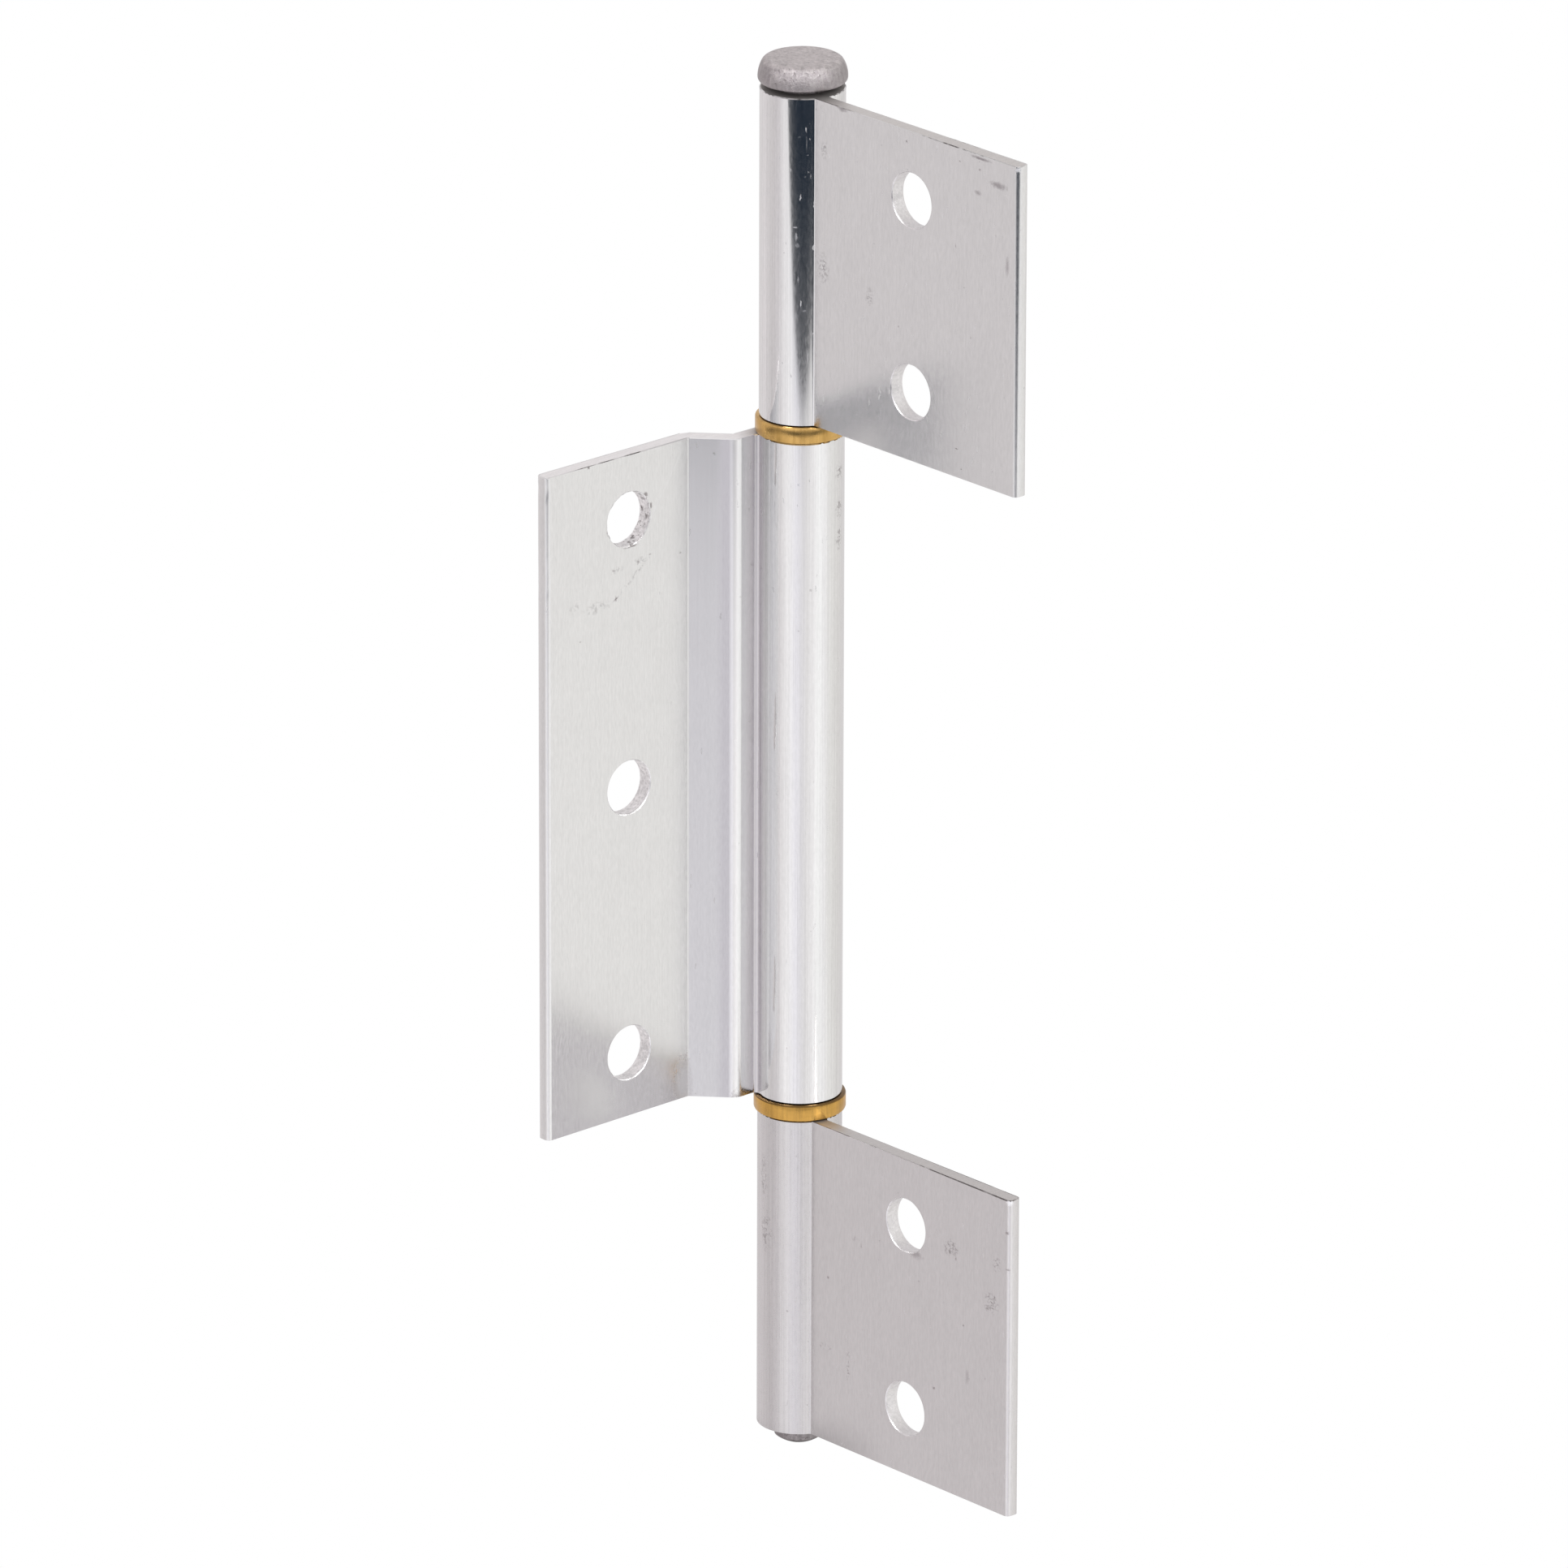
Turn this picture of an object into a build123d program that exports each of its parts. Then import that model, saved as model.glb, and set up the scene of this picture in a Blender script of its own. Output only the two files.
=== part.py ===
from build123d import *
from math import asin, atan2, cos, degrees, sin, sqrt, tan
import os

# Offset screen door hinge: a long cranked door leaf between two short flat jamb leaves,
# on one headed pin, with a thrust washer at each joint between the knuckles.
# Frame: origin on the pin's axis at mid-height of the door leaf, +Z along the pin towards
# its head, jamb leaves out along +X, door leaf out along -Y. Sizes are in millimetres.

# Pin and the running fits on it
pin_diameter = 5.56
pin_bore_clearance = 0.08
washer_bore_clearance = 0.12
head_overhang = 2.27
head_height = 2.8
head_crown = 0.1
head_side_radius = 3.5
head_lower_radius = 1.0
head_upper_radius = 0.5
head_gap = 0.65
tip_protrusion = 2.6
tip_dome_height = 1.0

# Knuckles
knuckle_diameter = 9.6
rim_break = 0.2
bore_mouth_break = 0.3

# Thrust washers
washer_thickness = 1.9
washer_overhang = 0.42
washer_edge_break = 0.25
axial_gap = 0.15

# Jamb leaves, both cut from the same flat-leaved section
jamb_length = 38.1
jamb_thickness = 1.75
jamb_reach = 37.15
jamb_back_offset = 0.38
jamb_root_fillet = 0.3
jamb_edge_radius = 0.4
jamb_hole_distance = 20.1
jamb_hole_spacing = 22.225

# Door leaf: a strip beside the knuckle, a slanted step, then the screw face
door_length = 78.6
door_thickness = 1.78
door_strip_inset = 0.46
door_strip_reach = 7.22
door_step_run = 3.76
door_step_depth = 4.1
door_reach = 32.0
door_root_fillet = 0.55
door_edge_radius = 0.55
bend_inner_radius = 0.3
bend_outer_radius = 1.6
door_hole_distance = 19.85
door_hole_spacing = 31.75
door_hole_count = 3

# Screw holes through every leaf
screw_hole_diameter = 6.35

# Sizes that follow from those above
pin_radius = pin_diameter / 2
bore_radius = pin_radius + pin_bore_clearance
knuckle_radius = knuckle_diameter / 2
jamb_face_offset = jamb_back_offset + jamb_thickness
door_back_offset = knuckle_radius - door_strip_inset
door_strip_offset = door_back_offset - door_thickness
door_face_offset = door_strip_offset + door_step_depth
joint_height = washer_thickness + 2 * axial_gap
jamb_start = door_length / 2 + joint_height
jamb_end = jamb_start + jamb_length
cut_margin = 1.0


def knuckle_bore(length):
    """The cut for the pin: the running bore with an eased mouth at each sawn end."""
    bore = extrude(Circle(bore_radius), length)
    mouth = Cone(bore_radius + bore_mouth_break, bore_radius, bore_mouth_break,
                 align=(Align.CENTER, Align.CENTER, Align.MIN))
    upper_mouth = Pos(0, 0, length) * Rot(180, 0, 0) * mouth
    return bore + mouth + upper_mouth


def root_vertex(section, x, y):
    """The corner of a flat section that lies nearest to a point."""
    return section.vertices().sort_by_distance(Vector(x, y, 0))[0]


def break_rims(leaf, length):
    """Ease the outer rims that the saw left at both ends of a knuckle."""
    rims = [
        edge
        for edge in leaf.edges().filter_by(GeomType.CIRCLE)
        if abs(edge.radius - knuckle_radius) < 1e-4
        and min(abs(edge.center().Z), abs(edge.center().Z - length)) < 1e-4
    ]
    return chamfer(rims, rim_break)


def screw_hole(thickness):
    """A plain punched hole through a leaf, along +Z and longer than the leaf is thick."""
    return Cylinder(screw_hole_diameter / 2, thickness + 2 * cut_margin)


def jamb_section():
    """Section of a jamb leaf: the knuckle circle with one flat leaf beside the axis."""
    flat = Polyline(
        (0, -jamb_back_offset),
        (jamb_reach, -jamb_back_offset),
        (jamb_reach, -jamb_face_offset),
        (0, -jamb_face_offset),
        close=True,
    )
    leaf = make_face(flat)
    free_corners = leaf.vertices().group_by(Axis.X)[-1]
    leaf = fillet(free_corners, jamb_edge_radius)
    section = Circle(knuckle_radius) + leaf
    roots = [
        root_vertex(section, sqrt(knuckle_radius**2 - offset**2), -offset)
        for offset in (jamb_back_offset, jamb_face_offset)
    ]
    return fillet(roots, jamb_root_fillet)


def jamb_leaf():
    """One jamb leaf, standing on the XY plane, with its bore and two screw holes."""
    leaf = break_rims(extrude(jamb_section(), jamb_length), jamb_length)
    leaf -= knuckle_bore(jamb_length)
    hole = Rot(90, 0, 0) * screw_hole(jamb_thickness)
    mid_leaf = -(jamb_back_offset + jamb_face_offset) / 2
    for side in (-1, 1):
        height = jamb_length / 2 + side * jamb_hole_spacing / 2
        leaf -= Pos(jamb_hole_distance, mid_leaf, height) * hole
    return leaf


def door_section():
    """Section of the door leaf: strip beside the knuckle, slanted step and screw face."""
    slant = atan2(door_step_depth, door_step_run)
    mitre = door_thickness * tan(slant / 2)
    step_end = door_strip_reach + door_step_run
    outer_back = door_face_offset + door_thickness
    strip_bend_face = (-door_strip_offset, -door_strip_reach)
    leaf_bend_face = (-door_face_offset, -step_end)
    leaf_bend_back = (-outer_back, -(step_end - mitre))
    strip_bend_back = (-door_back_offset, -(door_strip_reach - mitre))
    outline = Polyline(
        (-door_strip_offset, 0),
        strip_bend_face,
        leaf_bend_face,
        (-door_face_offset, -door_reach),
        (-outer_back, -door_reach),
        leaf_bend_back,
        strip_bend_back,
        (-door_back_offset, 0),
        close=True,
    )
    leaf = make_face(outline)
    inner_bends = [root_vertex(leaf, *corner) for corner in (leaf_bend_face, strip_bend_back)]
    leaf = fillet(inner_bends, bend_inner_radius)
    outer_bends = [root_vertex(leaf, *corner) for corner in (strip_bend_face, leaf_bend_back)]
    leaf = fillet(outer_bends, bend_outer_radius)
    leaf = fillet(leaf.vertices().group_by(Axis.Y)[0], door_edge_radius)
    section = Circle(knuckle_radius) + leaf
    roots = [
        root_vertex(section, -offset, -sqrt(knuckle_radius**2 - offset**2))
        for offset in (door_strip_offset, door_back_offset)
    ]
    return fillet(roots, door_root_fillet)


def door_leaf():
    """The long middle leaf, centred on the origin, with its bore and row of screw holes."""
    leaf = break_rims(extrude(door_section(), door_length), door_length)
    leaf -= knuckle_bore(door_length)
    hole = Rot(0, 90, 0) * screw_hole(door_thickness)
    mid_leaf = -(door_face_offset + door_thickness / 2)
    for index in range(door_hole_count):
        height = door_length / 2 + (index - (door_hole_count - 1) / 2) * door_hole_spacing
        leaf -= Pos(mid_leaf, -door_hole_distance, height) * hole
    return Pos(0, 0, -door_length / 2) * leaf


def thrust_washer():
    """A turned ring that carries one knuckle on the next, standing on the XY plane."""
    ring = Circle(knuckle_radius + washer_overhang) - Circle(pin_radius + washer_bore_clearance)
    washer = extrude(ring, washer_thickness)
    outer_rims = washer.edges().filter_by(GeomType.CIRCLE).sort_by(SortBy.RADIUS)[-2:]
    return chamfer(outer_rims, washer_edge_break)


def crown_arc(base_radius, base_height, rise):
    """A shallow dome's profile, from its rim to its top on the axis."""
    sphere_radius = (base_radius**2 + rise**2) / (2 * rise)
    half_angle = atan2(rise, base_radius)
    middle = (
        sphere_radius * sin(half_angle),
        base_height + rise - sphere_radius * (1 - cos(half_angle)),
    )
    return ThreePointArc((base_radius, base_height), middle, (0, base_height + rise))


def hinge_pin():
    """The headed pin: a cold-headed button, straight shank and domed lower tip.

    The button is widest just above its rounded lower edge, leans in towards its top on a
    large radius, and has a small round at the rim of its nearly flat crown.
    """
    underside = jamb_end + head_gap
    head_radius = pin_radius + head_overhang
    widest = underside + head_lower_radius
    crown_rim = underside + head_height - head_crown
    lean = asin((crown_rim - widest) / head_side_radius)
    side = JernArc((head_radius, widest), (0, 1), head_side_radius, degrees(lean))
    tip = -jamb_end - tip_protrusion
    dome_start = tip + tip_dome_height
    tip_dome = mirror(crown_arc(pin_radius, -dome_start, tip_dome_height), Plane.XZ)
    profile = Curve() + [
        crown_arc((side @ 1).X, crown_rim, head_crown),
        side,
        JernArc((head_radius, widest), (0, -1), head_lower_radius, -90),
        Line((head_radius - head_lower_radius, underside), (pin_radius, underside)),
        Line((pin_radius, underside), (pin_radius, dome_start)),
        tip_dome,
        Line((0, tip), (0, crown_rim + head_crown)),
    ]
    half_section = make_face(profile)
    half_section = fillet(root_vertex(half_section, (side @ 1).X, crown_rim), head_upper_radius)
    return revolve(Rot(90, 0, 0) * half_section, Axis.Z)


def write_parts():
    """Place every piece in the hinge's frame and write one file for each."""
    pieces = {
        "door_leaf": door_leaf(),
        "upper_jamb_leaf": Pos(0, 0, jamb_start) * jamb_leaf(),
        "lower_jamb_leaf": Pos(0, 0, -jamb_end) * jamb_leaf(),
        "upper_thrust_washer": Pos(0, 0, door_length / 2 + axial_gap) * thrust_washer(),
        "lower_thrust_washer": Pos(0, 0, -jamb_start + axial_gap) * thrust_washer(),
        "hinge_pin": hinge_pin(),
    }
    os.makedirs("parts", exist_ok=True)
    for name, piece in pieces.items():
        export_step(piece, f"parts/{name}.step")


write_parts()
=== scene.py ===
"""Looks of an offset screen door hinge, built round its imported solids.

The door leaf, both jamb leaves, the pin and the two thrust washers are modelled again here in
finer detail than the solids carry, each in the place that its solid holds, and dressed in
mill-finish aluminium, turned brass and dull plated steel. Sizes are in millimetres until a
finished mesh is scaled to metres.
"""
import logging
from dataclasses import dataclass
from enum import Enum, IntEnum
from math import atan2, cos, pi, radians, sin, sqrt, tan

import bmesh
import bpy
from mathutils import Matrix, Vector, noise


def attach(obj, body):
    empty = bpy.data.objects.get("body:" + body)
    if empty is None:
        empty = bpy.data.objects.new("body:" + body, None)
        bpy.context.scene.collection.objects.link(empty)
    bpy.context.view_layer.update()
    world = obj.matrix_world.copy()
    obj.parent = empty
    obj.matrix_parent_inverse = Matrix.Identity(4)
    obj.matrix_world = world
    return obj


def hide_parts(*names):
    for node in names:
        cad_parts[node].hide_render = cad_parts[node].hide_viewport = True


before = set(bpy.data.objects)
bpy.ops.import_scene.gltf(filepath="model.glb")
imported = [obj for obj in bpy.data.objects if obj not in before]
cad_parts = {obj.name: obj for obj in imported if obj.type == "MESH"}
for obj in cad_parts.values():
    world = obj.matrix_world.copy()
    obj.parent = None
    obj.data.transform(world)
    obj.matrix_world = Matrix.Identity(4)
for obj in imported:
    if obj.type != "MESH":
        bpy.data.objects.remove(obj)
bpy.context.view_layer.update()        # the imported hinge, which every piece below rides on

METRE = 0.001                # one millimetre, in metres
KNUCKLE_RADIUS = 4.8
JAMB_FACE = 2.13             # from the pin's axis to the jamb leaves' showing faces
DOOR_FACE = 6.66             # from the pin's axis to the door leaf's screw face
MARK_DEPTH = 0.6             # how deep a mark on a face reaches, so that it covers the face
log = logging.getLogger("hinge")

Socket = bpy.types.NodeSocket
Triple = tuple[float, float, float]


class Zone(IntEnum):
    """The finishes on one leaf, in the order of its material slots."""

    SKIN = 0
    SAWN = 1
    PUNCHED = 2
    BURR = 3


class Slot(Enum):
    """The record's material slots."""

    DOOR_LEAF = "door_leaf"
    JAMB_LEAF = "jamb_leaf"
    PIN = "pin"
    WASHER = "washer"


def arc(centre: Vector, start: Vector, end: Vector, steps: int, long_way: bool = False) -> list[Vector]:
    """Points of a round stretch of an outline, both ends included.

    Args:
        centre: centre of the arc.
        start: first point, which also sets the radius.
        end: last point.
        steps: number of straight pieces.
        long_way: take the turn of more than half a circle.

    Returns:
        The points in order.
    """
    first = start - centre
    last = end - centre
    begin = atan2(first.y, first.x)
    turn = (atan2(last.y, last.x) - begin + pi) % (2 * pi) - pi
    if long_way:
        turn -= 2 * pi if turn > 0 else -2 * pi
    radius = first.length
    angles = [begin + turn * step / steps for step in range(steps + 1)]
    return [centre + Vector((radius * cos(angle), radius * sin(angle))) for angle in angles]


def round_corner(before: Vector, corner: Vector, after: Vector, radius: float, steps: int) -> list[Vector]:
    """Points of the arc that rounds one corner of an outline.

    Args:
        before: the corner before this one.
        corner: the sharp corner.
        after: the corner after this one.
        radius: radius of the rounding.
        steps: number of straight pieces in the arc.

    Returns:
        The arc's points in order.
    """
    back = (before - corner).normalized()
    ahead = (after - corner).normalized()
    half = back.angle(ahead) / 2
    reach = radius / tan(half)
    centre = corner + (back + ahead).normalized() * (radius / sin(half))
    return arc(centre, corner + back * reach, corner + ahead * reach, steps)


def circles_cross(first: Vector, first_radius: float, second: Vector, second_radius: float) -> Vector:
    """Where two circles cross, on the side further from the axis.

    Args:
        first: centre of one circle.
        first_radius: its radius.
        second: centre of the other circle.
        second_radius: its radius.

    Returns:
        The crossing with the larger x.
    """
    between = second - first
    along = (first_radius**2 - second_radius**2 + between.length_squared) / (2 * between.length)
    aside = sqrt(first_radius**2 - along**2)
    ahead = between.normalized()
    foot = first + ahead * along
    square = Vector((-ahead.y, ahead.x))
    return max(foot + square * aside, foot - square * aside, key=lambda point: point.x)


def add_object(name: str, data: bpy.types.ID) -> bpy.types.Object:
    """A new object in the scene, at the origin."""
    added = bpy.data.objects.new(name, data)
    bpy.context.scene.collection.objects.link(added)
    return added


def border_of(region: list[bmesh.types.BMFace]) -> list[bmesh.types.BMEdge]:
    """The edges between a region of faces and the rest of its mesh."""
    faces = set(region)
    return [edge for face in region for edge in face.edges if len(faces.intersection(edge.link_faces)) == 1]


def spin_section(section: list[Vector], closed: bool, steps: int) -> bmesh.types.BMesh:
    """Turn a section, given by radius and height, once round the pin's axis."""
    bm = bmesh.new()
    verts = [bm.verts.new((point.x, 0.0, point.y)) for point in section]
    for start, end in zip(verts, verts[1:] + (verts[:1] if closed else [])):
        bm.edges.new((start, end))
    bmesh.ops.spin(bm, geom=bm.verts[:] + bm.edges[:], cent=(0, 0, 0), axis=(0, 0, 1), angle=2 * pi,
                   steps=steps, use_merge=True)
    return bm


def finish_mesh(bm: bmesh.types.BMesh, name: str, sharp_angle: float = 28.0) -> bpy.types.Object:
    """Scale a mesh to metres, shade it smooth between its sharp edges and make it an object.

    Args:
        bm: the mesh in millimetres, which is freed.
        name: the piece's name.
        sharp_angle: degrees between faces above which an edge stays crisp.

    Returns:
        The new object, at the origin.
    """
    bmesh.ops.recalc_face_normals(bm, faces=bm.faces)
    bmesh.ops.scale(bm, vec=(METRE, METRE, METRE), verts=bm.verts)
    for face in bm.faces:
        face.smooth = True
    for edge in bm.edges:
        edge.smooth = edge.is_manifold and edge.calc_face_angle(0.0) < radians(sharp_angle)
    mesh = bpy.data.meshes.new(name)
    bm.to_mesh(mesh)
    bm.free()
    piece = add_object(name, mesh)
    weighted = piece.modifiers.new("even_shading", "WEIGHTED_NORMAL")
    weighted.keep_sharp = True
    return piece


def fit_piece(piece: bpy.types.Object, node: str, slot: Slot, *finishes: "Finish") -> None:
    """Dress a piece and set it on the CAD body of the node that it stands for.

    Args:
        piece: the finished object.
        node: the CAD node, whose body has the same name.
        slot: the record's material slot.
        *finishes: the piece's finishes, in the order of its zones.
    """
    for finish in finishes:
        piece.data.materials.append(finish.material())
    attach(piece, node)
    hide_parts(node)
    log.info("%s: %d faces, slot %s", piece.name, len(piece.data.polygons), slot.value)


class NodeBench:
    """The node tree of a material or world, with a short method for each kind of node used here."""

    def __init__(self, owner: bpy.types.Material | bpy.types.World, shader: str = "Principled BSDF") -> None:
        """Start the node tree of a new material or world, whose shader node is there already."""
        owner.use_nodes = True
        self.owner = owner
        self.tree = owner.node_tree
        self.shader = self.tree.nodes[shader]

    def add(self, kind: str, inputs: dict[str | int, object] | None = None,
            **settings: object) -> bpy.types.Node:
        """Add a node.

        Args:
            kind: the node's type name, without its prefix.
            inputs: values or sockets for the node's inputs, by name or number.
            **settings: the node's own properties.

        Returns:
            The new node.
        """
        node = self.tree.nodes.new("ShaderNode" + kind)
        for key, value in settings.items():
            setattr(node, key, value)
        self.feed(node, inputs or {})
        return node

    def feed(self, node: bpy.types.Node, inputs: dict[str | int, object]) -> None:
        """Link sockets to a node's inputs, or set them to values."""
        for key, value in inputs.items():
            if isinstance(value, Socket):
                self.tree.links.new(value, node.inputs[key])
            else:
                node.inputs[key].default_value = value

    def stretch(self, vector: Socket, scale: Triple) -> Socket:
        """A vector stretched by a scale along each axis."""
        return self.add("Mapping", {"Vector": vector, "Scale": scale}).outputs["Vector"]

    def millimetres(self, scale: Triple = (1.0, 1.0, 1.0)) -> Socket:
        """Object coordinates in millimetres, stretched by a scale along each axis."""
        coordinates = self.add("TexCoord").outputs["Object"]
        return self.stretch(coordinates, tuple(value / METRE for value in scale))

    def along(self, axis: str) -> Socket:
        """The place along one axis of the hinge, in millimetres."""
        return self.add("SeparateXYZ", {0: self.millimetres()}).outputs[axis]

    def length(self, vector: Socket) -> Socket:
        """The length of a vector."""
        return self.add("VectorMath", {0: vector}, operation="LENGTH").outputs["Value"]

    def from_pin(self) -> Socket:
        """The distance from the pin's axis, in millimetres."""
        return self.length(self.millimetres((1.0, 1.0, 0.0)))

    def warp(self, vector: Socket, scale: float, detail: float, reach: float) -> Socket:
        """A vector shifted by noise, by up to a reach along each axis."""
        wobble = self.add("TexNoise", {"Vector": vector, "Scale": scale, "Detail": detail}).outputs["Color"]
        shift = self.add("VectorMath", {0: wobble, 1: (reach,) * 3}, operation="MULTIPLY").outputs[0]
        return self.add("VectorMath", {0: vector, 1: shift}, operation="ADD").outputs[0]

    def cells(self, vector: Socket, scale: float) -> tuple[Socket, Socket, Socket]:
        """Random cells: the distance to each one's middle, and two random values for each."""
        cells = self.add("TexVoronoi", {"Vector": vector, "Scale": scale})
        chance = self.add("SeparateColor", {0: cells.outputs["Color"]})
        return cells.outputs["Distance"], chance.outputs[0], chance.outputs[1]

    def noise(self, vector: Socket, scale: float, detail: float = 2.0,
              roughness: float = 0.5) -> Socket:
        """Noise from 0 to 1 over a vector."""
        inputs = {"Vector": vector, "Scale": scale, "Detail": detail, "Roughness": roughness}
        return self.add("TexNoise", inputs).outputs["Fac"]

    def math(self, operation: str, first: object, second: object = 0.0) -> Socket:
        """One arithmetic step."""
        return self.add("Math", {0: first, 1: second}, operation=operation).outputs[0]

    def times(self, first: object, second: object) -> Socket:
        """The product of two values."""
        return self.math("MULTIPLY", first, second)

    def plus(self, first: object, second: object) -> Socket:
        """The sum of two values."""
        return self.math("ADD", first, second)

    def larger(self, first: object, second: object) -> Socket:
        """The larger of two values."""
        return self.math("MAXIMUM", first, second)

    def span(self, value: Socket, low: float, high: float,
             to_low: float = 0.0, to_high: float = 1.0) -> Socket:
        """Map low..high to to_low..to_high, held at both ends."""
        inputs = {0: value, 1: low, 2: high, 3: to_low, 4: to_high}
        return self.add("MapRange", inputs, clamp=True).outputs[0]

    def between(self, share: Socket, low: float, high: float) -> Socket:
        """From low to high by a share from 0 to 1."""
        return self.span(share, 0.0, 1.0, low, high)

    def swing(self, value: Socket, reach: float, middle: float = 0.0) -> Socket:
        """Noise as a swing to both sides of a middle."""
        return self.span(value, 0.3, 0.7, middle - reach, middle + reach)

    def mix(self, factor: object, first: Socket | Triple, second: Socket | Triple,
            blend: str = "MIX") -> Socket:
        """Mix two colours."""
        inputs = {0: factor}
        for place, colour in ((6, first), (7, second)):
            inputs[place] = (*colour, 1.0) if isinstance(colour, tuple) else colour
        return self.add("Mix", inputs, data_type="RGBA", blend_type=blend).outputs[2]

    def shaded(self, colour: Socket | Triple, shade: Socket) -> Socket:
        """A colour made lighter or darker by a shade round 1."""
        return self.mix(1.0, colour, shade, "MULTIPLY")

    def metal(self, colour: Socket, roughness: Socket | float,
              *relief: tuple[Socket, float]) -> bpy.types.Material:
        """Finish the material as bare metal, with relief in layers of a height and a depth in millimetres."""
        normal: dict[str | int, object] = {}
        for height, depth in relief:
            layer = self.add("Bump", {"Height": height, "Distance": depth * METRE, **normal})
            normal = {"Normal": layer.outputs["Normal"]}
        self.feed(self.shader, {"Base Color": colour, "Metallic": 1.0, "Roughness": roughness, **normal})
        return self.owner

    def show(self, mirrored: Socket, seen: Socket, output: str) -> None:
        """Give the tree's output one shader for the camera and another one for reflections."""
        to_camera = self.add("LightPath").outputs["Is Camera Ray"]
        surface = self.add("MixShader", {0: to_camera, 1: mirrored, 2: seen}).outputs[0]
        self.feed(self.tree.nodes[output], {"Surface": surface})


class MarkKind(Enum):
    """What a mark on a leaf looks like."""

    # Soft dark patches: real rubs, and painted shade where a patch stands for a shadow.
    RUB_AND_SHADE = "soft dark rub"
    SCUFF = "patch of fine specks and scratches"
    CHIP = "small dark pit"
    # Its lighter tone is a painted highlight, on metal made rougher as by a scratch.
    GLINT = "small bright scratch"
    # Its flat grey tone is painted shade laid over a reflection, on rougher metal.
    HAZE_AND_SHADE = "broad dull patch that hides reflections"


RUB_AND_SHADE, SCUFF, CHIP, GLINT, HAZE_AND_SHADE = MarkKind


@dataclass(frozen=True)
class Mark:
    """A blemish at one place on a leaf, or painted shade or a painted highlight there, as a ragged ellipsoid
    in the hinge's frame.
    """

    kind: MarkKind
    place: Triple
    size: Triple
    strength: float = 0.8
    lean: Triple = (0.0, 0.0, 0.0)


def on_jamb(kind: MarkKind, *marks: tuple[float, ...]) -> list[Mark]:
    """Marks on a jamb leaf's showing face: out from the pin, height, wide, tall and strength."""
    return [Mark(kind, (out, -JAMB_FACE, height), (wide, MARK_DEPTH, tall), *strength)
            for out, height, wide, tall, *strength in marks]


def on_door(kind: MarkKind, *marks: tuple[float, ...], lean: float = 0.0) -> list[Mark]:
    """Marks on the door leaf's screw face, given as on a jamb leaf, leant within the face."""
    return [Mark(kind, (-DOOR_FACE, -out, height), (MARK_DEPTH, wide, tall), *strength, lean=(lean, 0.0, 0.0))
            for out, height, wide, tall, *strength in marks]


def on_knuckle(kind: MarkKind, *marks: tuple[float, ...]) -> list[Mark]:
    """Marks on a knuckle: degrees round the pin from -Y to +X, height, wide, tall and strength."""
    return [
        Mark(kind, (KNUCKLE_RADIUS * sin(radians(bearing)), -KNUCKLE_RADIUS * cos(radians(bearing)), height),
             (wide, wide, tall), *strength)
        for bearing, height, wide, tall, *strength in marks
    ]


@dataclass(frozen=True)
class PaintedLightBand:
    """A stretch of a section, from near to far along Y, with a painted tone: darker as painted shade or
    lighter as a painted highlight, and smoother by its polish.
    """

    near: float
    far: float
    tone: Triple
    near_fade: float = 0.15
    far_fade: float = 0.15
    within_x: float = 100.0          # the band ends here along X
    x_fade: float = 0.5
    polish: float = 0.0

    def inside(self, bench: NodeBench) -> Socket:
        """1 inside the band, 0 outside it."""
        along = bench.along("Y")
        entered = bench.span(along, self.near + self.near_fade, self.near - self.near_fade)
        left = bench.span(along, self.far + self.far_fade, self.far - self.far_fade)
        aside = bench.span(bench.along("X"), self.within_x + self.x_fade, self.within_x - self.x_fade)
        return bench.times(bench.math("SUBTRACT", entered, left), aside)


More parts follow.
